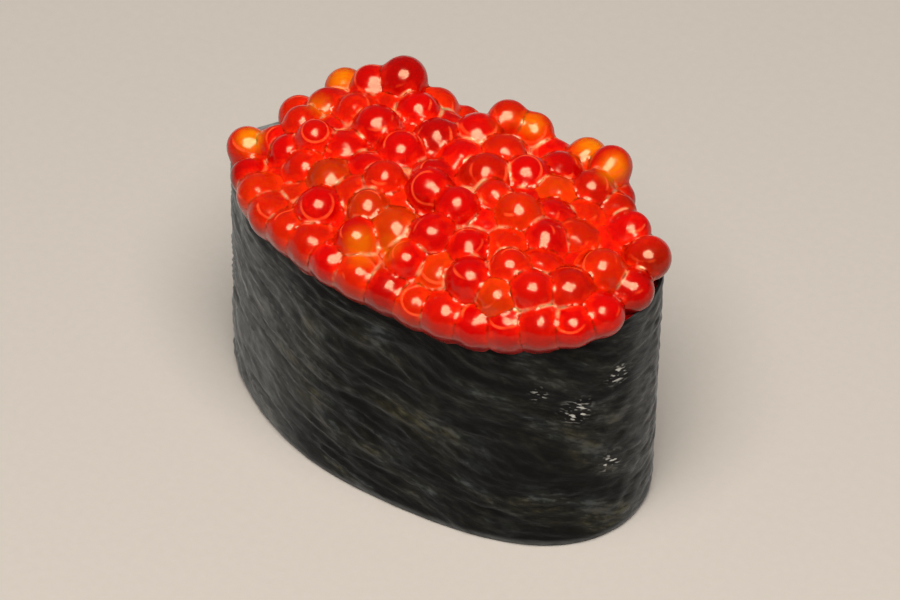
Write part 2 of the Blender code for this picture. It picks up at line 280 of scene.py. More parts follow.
def grain_places():
    """Middles, headings and sizes of the grains that lie side by side in the underside."""
    rng = np.random.default_rng(GRAIN_SEED)
    across = np.arange(-HALF_WIDTH, HALF_WIDTH, GRAIN_ROW)
    along = np.arange(-HALF_LENGTH, HALF_LENGTH, GRAIN_STEP)
    x, y = [a.ravel() for a in np.meshgrid(along, across, indexing="ij")]
    x = x + rng.normal(0.0, 0.55 * MM, len(x))
    y = y + rng.normal(0.0, 0.45 * MM, len(y))
    heading = rng.uniform(0.0, np.pi, len(x))
    kept = oval_size(x, y, 1.5 * GRAIN_WIDTH) < 1.0
    x, y, heading = x[kept], y[kept], heading[kept]
    # grains that would stick out through the band move in
    turn = np.linspace(0.0, 2.0 * np.pi, 24)[:, None]
    lengthwise = 0.5 * GRAIN_BIGGEST * GRAIN_LENGTH * np.cos(turn)
    crosswise = 0.5 * GRAIN_BIGGEST * GRAIN_WIDTH * np.sin(turn)
    edge_x = lengthwise * np.cos(heading) - crosswise * np.sin(heading)
    edge_y = lengthwise * np.sin(heading) + crosswise * np.cos(heading)
    for _ in range(4):
        outermost = np.maximum(oval_size(x + edge_x, y + edge_y, GRAIN_INSET).max(axis=0), 1.0)
        x, y = x / outermost, y / outermost
    size = rng.uniform(GRAIN_SMALLEST, GRAIN_BIGGEST, len(x))
    lift = 0.5 * GRAIN_WIDTH * GRAIN_FLATNESS * size + rng.uniform(0.0, GRAIN_UNEVEN, len(x))
    places = np.column_stack([x, y, lift]) + np.array(MIDDLE)
    return places, heading, size


def set_values(mesh, name, values):
    """Keeps a number or a vector for each vertex under a name."""
    kind, field = ("FLOAT_VECTOR", "vector") if values.ndim == 2 else ("FLOAT", "value")
    made = mesh.attributes.new(name, kind, "POINT")
    made.data.foreach_set(field, values.astype(np.float32).ravel())


def points_object(name, places, attributes):
    """A mesh of loose points that carry named numbers, for Geometry Nodes to put things on."""
    mesh = bpy.data.meshes.new(name)
    mesh.from_pydata(np.asarray(places).tolist(), [], [])
    for key, values in attributes.items():
        set_values(mesh, key, values)
    body = bpy.data.objects.new(name, mesh)
    bpy.context.scene.collection.objects.link(body)
    return body


def combine(tree, operation, first, second=0.0):
    """Sum, product or the like of two numbers."""
    node = add_node(tree, "ShaderNodeMath", {"operation": operation}, {0: first, 1: second})
    return node.outputs["Value"]


def scatter_tree(name):
    """Geometry Nodes: puts a rounded shape on every point, turned and sized by the point's numbers.

    Shape is half its size along its three axes, and Detail how often its faces are split;
    points marked plain get a coarser one.
    """
    tree = bpy.data.node_groups.new(name, "GeometryNodeTree")
    sockets = {"Geometry": "Geometry", "Shape": "Vector", "Detail": "Int", "Finish": "Material"}
    for socket, kind in sockets.items():
        tree.interface.new_socket(socket, in_out="INPUT", socket_type="NodeSocket" + kind)
    tree.interface.new_socket("Geometry", in_out="OUTPUT", socket_type="NodeSocketGeometry")
    given = add_node(tree, "NodeGroupInput")

    def point_value(kind, name):
        read = add_node(tree, "GeometryNodeInputNamedAttribute", {"data_type": kind}, {"Name": name})
        return read.outputs["Attribute"]

    plain = point_value("BOOLEAN", "plain")
    fine = add_node(tree, "FunctionNodeBooleanMath", {"operation": "NOT"}, {0: plain})
    detail = given.outputs["Detail"]
    less = combine(tree, "SUBTRACT", detail, 1.0)
    both = add_node(tree, "GeometryNodeJoinGeometry")
    for chosen, splits in ((fine.outputs["Boolean"], detail), (plain, less)):
        ball = add_node(tree, "GeometryNodeMeshIcoSphere", inputs={"Radius": 1.0, "Subdivisions": splits})
        shaped = add_node(tree, "GeometryNodeTransform", inputs={
            "Geometry": ball.outputs["Mesh"], "Scale": given.outputs["Shape"]})
        spread = add_node(tree, "GeometryNodeInstanceOnPoints", inputs={
            "Points": given.outputs["Geometry"], "Selection": chosen,
            "Instance": shaped.outputs["Geometry"],
            "Rotation": point_value("FLOAT_VECTOR", "turn"), "Scale": point_value("FLOAT", "size")})
        tree.links.new(spread.outputs["Instances"], both.inputs["Geometry"])
    real = add_node(tree, "GeometryNodeRealizeInstances", inputs={"Geometry": both.outputs["Geometry"]})
    smooth = add_node(tree, "GeometryNodeSetShadeSmooth", inputs={"Geometry": real.outputs["Geometry"]})
    finished = add_node(tree, "GeometryNodeSetMaterial", inputs={
        "Geometry": smooth.outputs["Geometry"], "Material": given.outputs["Finish"]})
    add_node(tree, "NodeGroupOutput", inputs={"Geometry": finished.outputs["Geometry"]})
    return tree


def scattered(name, points, tree, shape, detail, finish):
    """The plain mesh object that the tree makes of the points object, which is then removed."""
    modifier = points.modifiers.new("scatter", "NODES")
    modifier.node_group = tree
    sockets = {s.name: s.identifier for s in tree.interface.items_tree if s.in_out == "INPUT"}
    modifier[sockets["Shape"]] = shape
    modifier[sockets["Detail"]] = detail
    modifier[sockets["Finish"]] = finish
    evaluated = points.evaluated_get(bpy.context.evaluated_depsgraph_get())
    mesh = bpy.data.meshes.new_from_object(evaluated)
    mesh.name = name
    bpy.data.objects.remove(points)
    body = bpy.data.objects.new(name, mesh)
    bpy.context.scene.collection.objects.link(body)
    return body


def remap(tree, value, low, high, to_low=0.0, to_high=1.0, kind="LINEAR"):
    """Carries a value over from one range to another."""
    node = add_node(tree, "ShaderNodeMapRange", {"interpolation_type": kind}, {
        "Value": value, "From Min": low, "From Max": high, "To Min": to_low, "To Max": to_high})
    return node.outputs["Result"]


def bumped(tree, height, strength, distance):
    """Normal of a surface with fine relief."""
    node = add_node(tree, "ShaderNodeBump", inputs={
        "Height": height, "Strength": strength, "Distance": distance})
    return node.outputs["Normal"]


def cooked_rice_material():
    """Boiled rice: moist starch, so it is warm white, slightly see-through and softly shiny."""
    material = bpy.data.materials.new("cooked_rice")
    material.use_nodes = True
    tree = material.node_tree
    shader = tree.nodes["Principled BSDF"]
    shader.inputs["IOR"].default_value = 1.38
    shader.inputs["Subsurface Weight"].default_value = 0.6
    shader.inputs["Subsurface Scale"].default_value = 1.0 * MM
    shader.inputs["Subsurface Radius"].default_value = (1.0, 0.8, 0.55)
    place = add_node(tree, "ShaderNodeTexCoord").outputs["Object"]
    clouds = add_node(tree, "ShaderNodeTexNoise", inputs={"Vector": place, "Scale": 220.0, "Detail": 3.0})
    skin = add_node(tree, "ShaderNodeTexNoise", inputs={"Vector": place, "Scale": 1800.0, "Detail": 2.0})
    tint = blend(tree, clouds.outputs["Fac"], linear("#D9D0BA"), linear("#EFEADC"))
    tree.links.new(tint, shader.inputs["Base Color"])
    tree.links.new(remap(tree, clouds.outputs["Fac"], 0.0, 1.0, 0.28, 0.45), shader.inputs["Roughness"])
    tree.links.new(bumped(tree, skin.outputs["Fac"], 0.25, 0.05 * MM), shader.inputs["Normal"])
    return material


cooked_rice = cooked_rice_material()
rice_core = ring_body("rice_core", rice_core_rings(), (0.0, 0.0, RICE_BASE),
                      (0.0, 0.0, RICE_EDGE_TOP - GAP + RICE_CROWN))
rice_core.data.materials.append(cooked_rice)
grain_middles, grain_headings, grain_sizes = grain_places()
grain_turns = np.column_stack([np.zeros((len(grain_headings), 2)), grain_headings])
grain_points = points_object("rice_points", grain_middles, {"turn": grain_turns, "size": grain_sizes})
grain_shape = (0.5 * GRAIN_LENGTH, 0.5 * GRAIN_WIDTH, 0.5 * GRAIN_FLATNESS * GRAIN_WIDTH)
rice_grains = scattered("rice_grains", grain_points, scatter_tree("scatter_grains"),
                        grain_shape, GRAIN_DETAIL, cooked_rice)
for piece in (rice_core, rice_grains):
    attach(piece, "root")
    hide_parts("rice")


# ---- The nori --------------------------------------------------------------------------------
# One strip of toasted seaweed, pressed like paper from shredded laver and cut 31 mm high. It is
# wound once round the rice, laps over its own start at the back, and wrinkles as it takes up
# moisture. It is nearly black, mottled olive and grey, with a dull shine on the creases.

NORI_HEIGHT = 31.0 * MM
RIM_RISE = 1.3 * MM           # the strip lies askew: its rim climbs by this towards +X
RIM_SAG = 1.8 * MM            # the rim sinks this much under the eggs at the front
SAG_CENTRE = 12.0 * MM
SAG_REACH = 11.0 * MM
NORI_SHEET = 0.25 * MM
LAP_START = 0.3               # the strip's inner end, as a fraction of the way round from +X
LAP_LENGTH = 12.0 * MM
LAP_RAMP = 8.0 * MM
LAP_GAP = 0.2 * MM
NORI_COLUMNS = 460
NORI_ROWS = 84
NORI_CURL = 0.35 * MM         # the lower edge turns in by this
NORI_CURL_HEIGHT = 1.1 * MM
NORI_SEED = 5
NORI_UNEVEN_RIM = 0.07 * MM   # the cut edge is not quite straight
FOLD_DEPTH = 0.12 * MM        # long creases, deeper at the tapered end
CREASE_DEPTH = 0.045 * MM     # finer ones between them
PUCKER_DEPTH = 0.022 * MM
DENTS = 46                    # small pits, where shreds are missing from the sheet
CREASE_TILT = 0.25            # the creases run down by this much of a millimetre for each one along


def rim_lift(x, y):
    """Height of the band's rim above NORI_HEIGHT at x, y."""
    slope = RIM_RISE * x / HALF_LENGTH
    front = np.clip(-y / HALF_WIDTH, 0.0, 1.0)
    return slope - RIM_SAG * front * np.exp(-((x - SAG_CENTRE) / SAG_REACH) ** 2)


def waves(rng, u, v, length_u, length_v, count):
    """Smooth irregular relief of unit spread, with features about length_u by length_v."""
    total = np.zeros_like(u)
    for _ in range(count):
        heading = rng.uniform(0.0, 2.0 * np.pi)
        pitch = rng.uniform(0.6, 1.5)
        turn = 2.0 * np.pi * pitch * (u / length_u * np.cos(heading) + v / length_v * np.sin(heading))
        total += np.sin(turn + rng.uniform(0.0, 2.0 * np.pi))
    return total * math.sqrt(2.0 / count)


def crease_height(run, height):
    """Height on the strip measured across the creases, which wander and run down askew."""
    rng = np.random.default_rng(NORI_SEED)
    return height + CREASE_TILT * run + 0.5 * MM * waves(rng, run, height, 22.0 * MM, 16.0 * MM, 8)


def nori_relief(run, height, x):
    """How far the sheet stands out from a smooth band: long creases, small puckers and dents."""
    rng = np.random.default_rng(NORI_SEED)
    across = crease_height(run, height)
    folds = 1.0 - 2.0 * np.abs(np.tanh(waves(rng, run, across, 18.0 * MM, 3.6 * MM, 26)))
    fine = waves(rng, run, across, 6.0 * MM, 1.3 * MM, 30)
    puckers = waves(rng, run, height, 2.6 * MM, 1.5 * MM, 40)
    tapered = np.clip(0.5 - 0.5 * x / HALF_LENGTH, 0.0, 1.0)
    relief = FOLD_DEPTH * folds * (0.5 + 1.3 * tapered) + CREASE_DEPTH * fine + PUCKER_DEPTH * puckers
    for _ in range(DENTS):
        at_run = rng.uniform(0.0, run.max())
        at_height = rng.uniform(2.0 * MM, 29.0 * MM)
        reach = rng.uniform(0.35 * MM, 0.8 * MM)
        away = ((run - at_run) / (reach * 1.7)) ** 2 + ((height - at_height) / reach) ** 2
        relief -= rng.uniform(0.08, 0.22) * MM * np.exp(-away)
    return relief


def tint_near(spots, places):
    """How far each spot on a surface takes on a tint that lies at the places, given in millimetres."""
    tint = np.zeros(len(spots))
    for x, y, z, reach, strength in places:
        away = np.linalg.norm(spots - np.array((x, y, z)) * MM, axis=1)
        tint = np.maximum(tint, strength * np.exp(-(away / (reach * MM)) ** 3))
    return tint


# Painted glints, bright flecks on the blunt end: x, y, z, reach in millimetres, and how dense
GLINT_PLACES = (
    (26.8, -4.0, 24.8, 1.3, 1.0),
    (24.2, -8.3, 21.0, 1.5, 1.0),
    (26.6, -4.6, 11.7, 1.2, 1.0),
    (20.8, -11.0, 23.7, 0.8, 0.8),
)
# Where a grey sheen is painted on, where the sheet catches grazing light: at the tapered end,
# the blunt end's turn and the lower hem; along which axis, where it starts and is fullest in
# millimetres, and how grey
SHEEN_PLACES = (
    ("X", -4.0, -26.0, 0.75),
    ("X", 26.7, 27.7, 0.4),
    ("Z", 1.3, 0.3, 0.6),
)


def nori_mesh():
    """The strip as one fine grid along the oval, with its way along and up kept for the finish."""
    samples, _ = oval_path(np.arange(2000) / 2000.0)
    around = np.linalg.norm(samples - np.roll(samples, 1, axis=0), axis=1).sum()
    run, share = np.meshgrid(np.linspace(0.0, around + LAP_LENGTH, NORI_COLUMNS),
                             np.linspace(0.0, 1.0, NORI_ROWS), indexing="ij")
    plan, normals = oval_path(LAP_START + run.ravel() / around)
    x, y = plan[:, 0].reshape(run.shape), plan[:, 1].reshape(run.shape)
    rng = np.random.default_rng(NORI_SEED + 1)
    ragged = NORI_UNEVEN_RIM * waves(rng, run, np.zeros_like(run), 6.0 * MM, 1.0, 12)
    height = share * (NORI_HEIGHT + rim_lift(x, y) + ragged)
    climb = np.clip((run - around + LAP_RAMP) / LAP_RAMP, 0.0, 1.0)
    out = climb * climb * (3.0 - 2.0 * climb) * (NORI_SOLID + LAP_GAP)
    low = np.clip(1.0 - height / NORI_CURL_HEIGHT, 0.0, 1.0)
    out -= NORI_CURL * low ** 2
    out += nori_relief(run, height, x) * np.clip(share * 12.0, 0.0, 1.0)
    place = plan + normals * out.ravel()[:, None]
    points = np.column_stack([place, height.ravel()]) + np.array(MIDDLE)
    faces = []
    for column in range(NORI_COLUMNS - 1):
        for row in range(NORI_ROWS - 1):
            corner = column * NORI_ROWS + row
            faces.append((corner, corner + NORI_ROWS, corner + NORI_ROWS + 1, corner + 1))
    mesh = bpy.data.meshes.new("nori_sheet")
    mesh.from_pydata(points.tolist(), [], faces)
    mesh.shade_smooth()
    flat = np.column_stack([run.ravel(), crease_height(run, height).ravel(), np.zeros(run.size)])
    set_values(mesh, "along_strip", flat)
    # where glints are painted near the blunt end
    set_values(mesh, "painted_glints", tint_near(points - np.array(MIDDLE), GLINT_PLACES))
    return mesh


def strip_noise(tree, place, along, across, detail, distortion=0.0):
    """Noise drawn out along the creases; along and across are features per metre."""
    drawn = add_node(tree, "ShaderNodeMapping", inputs={"Vector": place, "Scale": (along, across, 1.0)})
    return add_node(tree, "ShaderNodeTexNoise", inputs={
        "Vector": drawn.outputs["Vector"], "Scale": 1.0, "Detail": detail, "Roughness": 0.62,
        "Distortion": distortion}).outputs["Fac"]


def fibre_ramp(tree, value, colours):
    """From the black ground of the sheet to its polished fibres, through four colours."""
    node = add_node(tree, "ShaderNodeValToRGB", inputs={"Fac": value})
    ramp = node.color_ramp
    ramp.elements[0].position = 0.38
    ramp.elements[0].color = linear(colours[0])
    ramp.elements[1].position = 0.68
    ramp.elements[1].color = linear(colours[3])
    ramp.elements.new(0.48).color = linear(colours[1])
    ramp.elements.new(0.58).color = linear(colours[2])
    return node.outputs["Color"]


def nori_material():
    """Toasted nori: pressed shreds of laver, matt and nearly black, olive here and blue-grey there.

    The shreds are drawn out along the creases, whose crests are polished and look greyer.
    """
    material = bpy.data.materials.new("toasted_nori")
    material.use_nodes = True
    tree = material.node_tree
    shader = tree.nodes["Principled BSDF"]
    shader.inputs["IOR"].default_value = 1.5
    shader.inputs["Specular IOR Level"].default_value = 0.1
    shader.inputs["Sheen Weight"].default_value = 0.22
    shader.inputs["Sheen Roughness"].default_value = 0.35
    shader.inputs["Sheen Tint"].default_value = linear("#B4BAC0")
    place = add_node(tree, "ShaderNodeAttribute", {"attribute_name": "along_strip"}).outputs["Vector"]
    wide = strip_noise(tree, place, 120.0, 420.0, 5.0, 0.3)
    thin = strip_noise(tree, place, 620.0, 1500.0, 6.0, 0.2)
    patches = strip_noise(tree, place, 110.0, 210.0, 4.0)
    fibres = add_node(tree, "ShaderNodeMix", {"data_type": "FLOAT"}, {0: 0.42, 2: wide, 3: thin}).outputs[0]
    worn = remap(tree, strip_noise(tree, place, 105.0, 200.0, 4.0), 0.3, 0.7, -0.18, 0.17)
    value = combine(tree, "ADD", fibres, worn)
    cool = fibre_ramp(tree, value, ("#010101", "#060708", "#131617", "#303436"))
    warm = fibre_ramp(tree, value, ("#010101", "#070705", "#17170F", "#323126"))
    tint = blend(tree, remap(tree, patches, 0.42, 0.6), cool, warm)
    # a grey sheen is painted on at the tapered end, the blunt end's turn and the lower hem
    spot = add_node(tree, "ShaderNodeSeparateXYZ", inputs={
        "Vector": add_node(tree, "ShaderNodeTexCoord").outputs["Object"]})
    painted_sheen = 0.0
    for axis, sheen_starts, sheen_fullest, most in SHEEN_PLACES:
        here = remap(tree, spot.outputs[axis], sheen_starts * MM, sheen_fullest * MM, 0.0, most, "SMOOTHSTEP")
        painted_sheen = combine(tree, "MAXIMUM", painted_sheen, here)
    sheen_grey = combine(tree, "MULTIPLY", painted_sheen, remap(tree, fibres, 0.4, 0.6, 0.45, 1.2))
    finish = blend(tree, sheen_grey, tint, linear("#5A5E60"))
    # painted glints: bright flecks, each about 0.5 mm long
    glint_speck = remap(tree, strip_noise(tree, place, 900.0, 2000.0, 1.0), 0.55, 0.64, 0.0, 0.9)
    glint_spread = add_node(tree, "ShaderNodeAttribute", {"attribute_name": "painted_glints"}).outputs["Fac"]
    finish = blend(tree, combine(tree, "MULTIPLY", glint_speck, glint_spread), finish, linear("#A9ABA8"))
    tree.links.new(finish, shader.inputs["Base Color"])
    tree.links.new(remap(tree, value, 0.4, 0.65, 0.7, 0.4), shader.inputs["Roughness"])
    tree.links.new(bumped(tree, value, 0.7, 0.25 * MM), shader.inputs["Normal"])
    return material


nori_band = bpy.data.objects.new("nori_band", nori_mesh())
bpy.context.scene.collection.objects.link(nori_band)
nori_band.data.materials.append(nori_material())
sheet_thickness = nori_band.modifiers.new("sheet", "SOLIDIFY")
sheet_thickness.thickness = NORI_SHEET
sheet_thickness.offset = -1.0
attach(nori_band, "root")
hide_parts("nori_wrap")


# ---- The salmon roe --------------------------------------------------------------------------
# Cured salmon eggs, 4 to 5.5 mm across, heaped on the rice and wet with their brine. Each is a
# thin clear skin round orange-red oil. They press on each other and on the rim, so they meet in
# flats, and a film of brine rounds off the grooves. Beneath the outer eggs lies a plain core.

EGG_COUNT = 215
EGG_SMALLEST = 4.0 * MM       # diameters
EGG_LARGEST = 5.5 * MM
EGG_SQUEEZE = 0.9             # pressed neighbours sit this fraction of their two radii apart
EGG_SEED = 39
SETTLE_STEPS = 260
SETTLE_PUSH = 0.32            # share of an overlap that each of two eggs gives way in a round
SETTLE_SINK = 0.02 * MM       # how far all sink in a round
RIM_SQUEEZE = 0.92            # eggs pressed on the rim keep this fraction of their radius from it
HEAP_FLOOR = 27.0 * MM        # the lowest eggs lie on this height
HEAP_EDGE = 5.4 * MM          # top of the eggs that sit on the rim, above it
HEAP_RISE = 3.2 * MM          # and how much higher the middle is
HEAP_ROUNDNESS = 2.2
HEAP_OVERHANG = 1.5 * MM
HEAP_UNEVEN = 0.5 * MM
HUMP_PLACE = (-16.0 * MM, 9.0 * MM)
HUMP_HEIGHT = 3.0 * MM
HUMP_REACH = 4.5 * MM
TAPERED_DROP = 4.0 * MM       # the heap is lower by this at its tapered tip
BLUNT_DROP = 2.6 * MM
# Eggs that stand out of the outline: x, y, height of the middle above the rim, diameter
STANDING_EGGS = (
    (-13.0 * MM, 11.6 * MM, 7.1 * MM, 5.4 * MM),
    (-20.1 * MM, 10.1 * MM, 3.7 * MM, 4.8 * MM),
    (-16.3 * MM, 9.8 * MM, 6.1 * MM, 4.6 * MM),
    (0.0 * MM, 13.5 * MM, 5.4 * MM, 4.7 * MM),
    (3.1 * MM, 14.3 * MM, 4.5 * MM, 4.4 * MM),
    (10.3 * MM, 14.2 * MM, 3.8 * MM, 4.8 * MM),
    (14.3 * MM, 12.9 * MM, 5.3 * MM, 4.8 * MM),
    (15.9 * MM, 11.6 * MM, 2.0 * MM, 4.4 * MM),
    (21.0 * MM, 6.7 * MM, 3.2 * MM, 4.5 * MM),
    (25.1 * MM, 3.9 * MM, 3.1 * MM, 5.1 * MM),
    (-25.0 * MM, -2.4 * MM, 1.4 * MM, 4.7 * MM),
)
# Eggs in the close row that rests on the front of the rim
LIP_EGGS = 14
LIP_FROM = 0.6                # where the row runs, as fractions of the way round from +X
LIP_TO = 0.955
LIP_EGG = 4.6 * MM            # mean diameter
LIP_UNEVEN = 0.35 * MM        # of their diameters
LIP_SWAY = 0.25 * MM          # of how far they hang over
LIP_BOB = 0.2 * MM            # of their height
LIP_OVERHANG = 1.6 * MM
LIP_SQUEEZE = 0.93            # of a diameter, where they are pressed on the rim
LIP_SINK = 0.3 * MM           # they sag over the rim by this much
LIP_RHYTHM = (2.4, 1.7, 3.1)  # radians from egg to egg, for size, overhang and height
BRINE = 0.42 * MM             # how far the film of brine rounds off a groove
BRINE_AT_FRONT = 0.9 * MM     # it gathers where the lowest eggs rest on the front of the rim
TUCK = 0.3 * MM               # beyond the halfway plane the skin dips under the neighbour's
FILM_DEPTH = 3.0 * MM         # the brine stands this far under the tops of the heap
FILM_INSET = 2.5 * MM         # and keeps this far inside the band
FILM_WAVE = 0.35 * MM         # unevenness of its level
CORE_DEPTH = 4.0 * MM         # the core lies this far under the skins of the outer eggs
CORE_SUNK = 0.6 * MM          # and its edge this far under the rim
CORE_SUNK_BACK = 2.8 * MM     # lower at the back, where the eggs leave a gap over the rim
CORE_COLUMNS = 160
EGG_DETAIL = 4
OPEN_SPOTS = 160              # places on an egg that are tried for a way out of the heap
WAYS_OUT = 60                 # directions that are tried, all round, from each
PLAIN_BELOW = 22              # eggs with fewer open spots are meshed coarser
SKIN_STEPS = 14               # rounds in which a vertex finds the skin
RIM_STEPS = 40                # and draws back from the band


def heap_top(x, y):
    """Height that the tops of the eggs reach above the rim."""
    inward = 1.0 - np.minimum(oval_size(x, y), 1.0) ** HEAP_ROUNDNESS
    away = (x - HUMP_PLACE[0]) ** 2 + (y - HUMP_PLACE[1]) ** 2
    hump = np.exp(-away / (2.0 * HUMP_REACH ** 2))
    tapered = np.clip((-x / HALF_LENGTH - 0.62) / 0.38, 0.0, 1.0)
    blunt = np.clip((x / HALF_LENGTH - 0.72) / 0.28, 0.0, 1.0)
    top = HEAP_EDGE + HEAP_RISE * inward + HUMP_HEIGHT * hump
    return top - TAPERED_DROP * tapered - BLUNT_DROP * blunt


def lip_eggs():
    """The row on the front of the rim: x, y, height of the middle above the rim, diameter."""
    number = np.arange(LIP_EGGS)
    diameter = LIP_EGG + LIP_UNEVEN * np.sin(LIP_RHYTHM[0] * number + 1.0)
    points, normals = oval_path(LIP_FROM + (LIP_TO - LIP_FROM) * number / (LIP_EGGS - 1))
    inset = 0.5 * diameter - LIP_OVERHANG - LIP_SWAY * np.sin(LIP_RHYTHM[1] * number)
    resting = np.sqrt((0.5 * LIP_SQUEEZE * diameter) ** 2 - inset ** 2)
    height = resting - LIP_SINK + LIP_BOB * np.sin(LIP_RHYTHM[2] * number + 0.5)
    return np.column_stack([points - inset[:, None] * normals, height, diameter])


def settle_eggs():
    """Middles and radii of the eggs, after they have settled into the band.

    Every round, eggs that overlap push each other apart, all sink a little, and those that
    have left the heap, the rim or the rice are put back. The standing eggs and the row
    on the rim keep their places.
    """
    rng = np.random.default_rng(EGG_SEED)
    radius = rng.uniform(EGG_SMALLEST, EGG_LARGEST, EGG_COUNT) / 2.0
    turn = rng.uniform(0.0, 2.0 * np.pi, EGG_COUNT)
    spread = 0.85 * np.sqrt(rng.uniform(0.0, 1.0, EGG_COUNT))
    x = HALF_LENGTH * spread * np.cos(turn)
    y = HALF_WIDTH * spread * np.sin(turn)
    z = rng.uniform(-3.0 * MM, 8.0 * MM, EGG_COUNT)
    stand_up = rng.normal(0.0, HEAP_UNEVEN, EGG_COUNT)
    stand_out = rng.normal(0.0, HEAP_UNEVEN, EGG_COUNT)
    every = np.arange(EGG_COUNT)
    places = np.concatenate([np.array(STANDING_EGGS), lip_eggs()])
    fixed = every < len(places)
    x[fixed], y[fixed], z[fixed] = places[:, 0], places[:, 1], places[:, 2]
    radius[fixed] = places[:, 3] / 2.0
    rim, _ = oval_path(np.arange(180) / 180.0)
    rim = rim * (1.0 - 0.5 * NORI_SOLID / HALF_WIDTH)
    floor = HEAP_FLOOR - NORI_HEIGHT + 0.5 * radius
    for _ in range(SETTLE_STEPS):
        centre = np.stack([x, y, z], axis=1)
        apart = centre[:, None] - centre[None]
        distance = np.sqrt((apart ** 2).sum(axis=2)) + 1e-9
        overlap = np.clip((radius[:, None] + radius[None]) * EGG_SQUEEZE - distance, 0.0, None)
        np.fill_diagonal(overlap, 0.0)
        push = SETTLE_PUSH * (apart * (overlap / distance)[..., None]).sum(axis=1)
        push[fixed] = 0.0
        x, y, z = (centre + push).T
        z = np.where(fixed, z, z - SETTLE_SINK)
        size = oval_size(x, y, radius - HEAP_OVERHANG - stand_out)
        pull = np.where((size > 1.0) & ~fixed, 1.0 / size, 1.0)
        x, y = x * pull, y * pull
        z = np.where(fixed, z, np.minimum(z, heap_top(x, y) + stand_up - radius))
        z = np.maximum(z, floor)
        size = oval_size(x, y, NORI_SOLID + 0.95 * radius)
        pull = np.where((z < -0.2 * radius) & (size > 1.0) & ~fixed, 1.0 / size, 1.0)
        x, y = x * pull, y * pull
        side_x = x[:, None] - rim[None, :, 0]
        side_y = y[:, None] - rim[None, :, 1]
        squared = side_x ** 2 + side_y ** 2
        nearest = squared.argmin(axis=1)
        reach = np.sqrt(squared[every, nearest] + z ** 2) + 1e-9
        lift = np.where(fixed, 0.0, np.clip(RIM_SQUEEZE * radius - reach, 0.0, None)) / reach
        x = x + side_x[every, nearest] * lift
        y = y + side_y[every, nearest] * lift
        z = z + np.abs(z) * lift
    return np.stack([x, y, z + NORI_HEIGHT + rim_lift(x, y)], axis=1), radius


def ball_directions(count):
    """Unit vectors spread evenly in all directions."""
    step = np.arange(count) + 0.5
    z = 1.0 - 2.0 * step / count
    turn = np.pi * (1.0 + math.sqrt(5.0)) * step
    return np.stack([np.sqrt(1.0 - z * z) * np.cos(turn), np.sqrt(1.0 - z * z) * np.sin(turn), z], axis=1)


def open_spots(middles, radius):
    """How many spots on each egg have a clear way out of the heap, sideways or up."""
    spots = ball_directions(OPEN_SPOTS)
    ways = ball_directions(WAYS_OUT)
    ways = ways[ways[:, 2] > -0.3]
    count = np.zeros(len(radius), int)
    rim_height = NORI_HEIGHT + rim_lift(middles[:, 0], middles[:, 1])
    for i in range(len(radius)):
        skin = middles[i] + radius[i] * 1.01 * spots
        others = np.arange(len(radius)) != i
        apart = skin[:, None] - middles[others][None]
        free = ((apart ** 2).sum(axis=2) > radius[others] ** 2).all(axis=1)
        inside = (oval_size(skin[:, 0], skin[:, 1]) < 1.0) & (skin[:, 2] < rim_height[i] - 1.0 * MM)
        for spot, out in zip(skin[free & ~inside], spots[free & ~inside]):
            leaving = ways[ways @ out > 0.25]
            to = middles[others] - spot
            along = leaving @ to.T
            miss = (to ** 2).sum(axis=1) - along ** 2
            blocked = ((miss < radius[others] ** 2) & (along > 0.0)).any(axis=1)
            count[i] += not blocked.all()
    return count


def brine_film(spot):
    """How far the film of brine rounds off a groove at a place."""
    above = spot[:, 2] - NORI_HEIGHT - rim_lift(spot[:, 0], spot[:, 1])
    low = np.clip(1.0 - above / (4.0 * MM), 0.0, 1.0)
    front = np.clip(-spot[:, 1] / HALF_WIDTH + 0.2, 0.0, 1.0)
    return BRINE + (BRINE_AT_FRONT - BRINE) * low * front


def film_height(spot):
    """How high a place lies over the pool of brine that stands between the eggs."""
    x, y, z = spot.T
    wave = FILM_WAVE * np.sin(x / (2.3 * MM) + 1.0) * np.cos(y / (1.9 * MM))
    level = NORI_HEIGHT + rim_lift(x, y) + heap_top(x, y) - FILM_DEPTH + wave
    beside = (oval_size(x, y, FILM_INSET) - 1.0) * HALF_WIDTH
    return np.maximum(0.9 * (z - level), beside)


def brine_skin(spot, middles, radius):
    """How far places lie outside the smooth skin round the eggs, and which way the skin faces."""
    film = brine_film(spot)[:, None]
    apart = spot[:, None] - middles[None]
    away = np.linalg.norm(apart, axis=2)
    facing = apart / away[..., None]
    pool = np.broadcast_to((0.0, 0.0, 1.0), (len(spot), 1, 3))
    facing = np.concatenate([facing, pool], axis=1)
    away = np.column_stack([away - radius, film_height(spot)])
    share = np.exp(-np.clip(away, -4.0 * MM, 4.0 * MM) / film)
    total = share.sum(axis=1)
    slope = (share[..., None] * facing).sum(axis=1)
    return -film[:, 0] * np.log(total), slope / np.linalg.norm(slope, axis=1)[:, None]


def skin_places(mesh):
    """Where the vertices are, measured from the middle of the piece."""
    places = np.zeros(len(mesh.vertices) * 3, np.float32)
    mesh.vertices.foreach_get("co", places)
    return places.reshape(-1, 3).astype(float) - np.array(MIDDLE)


def skin_owners(mesh):
    """Which egg each vertex belongs to."""
    owner = np.zeros(len(mesh.vertices), np.float32)
    mesh.attributes["egg"].data.foreach_get("value", owner)
    return owner.round().astype(int)


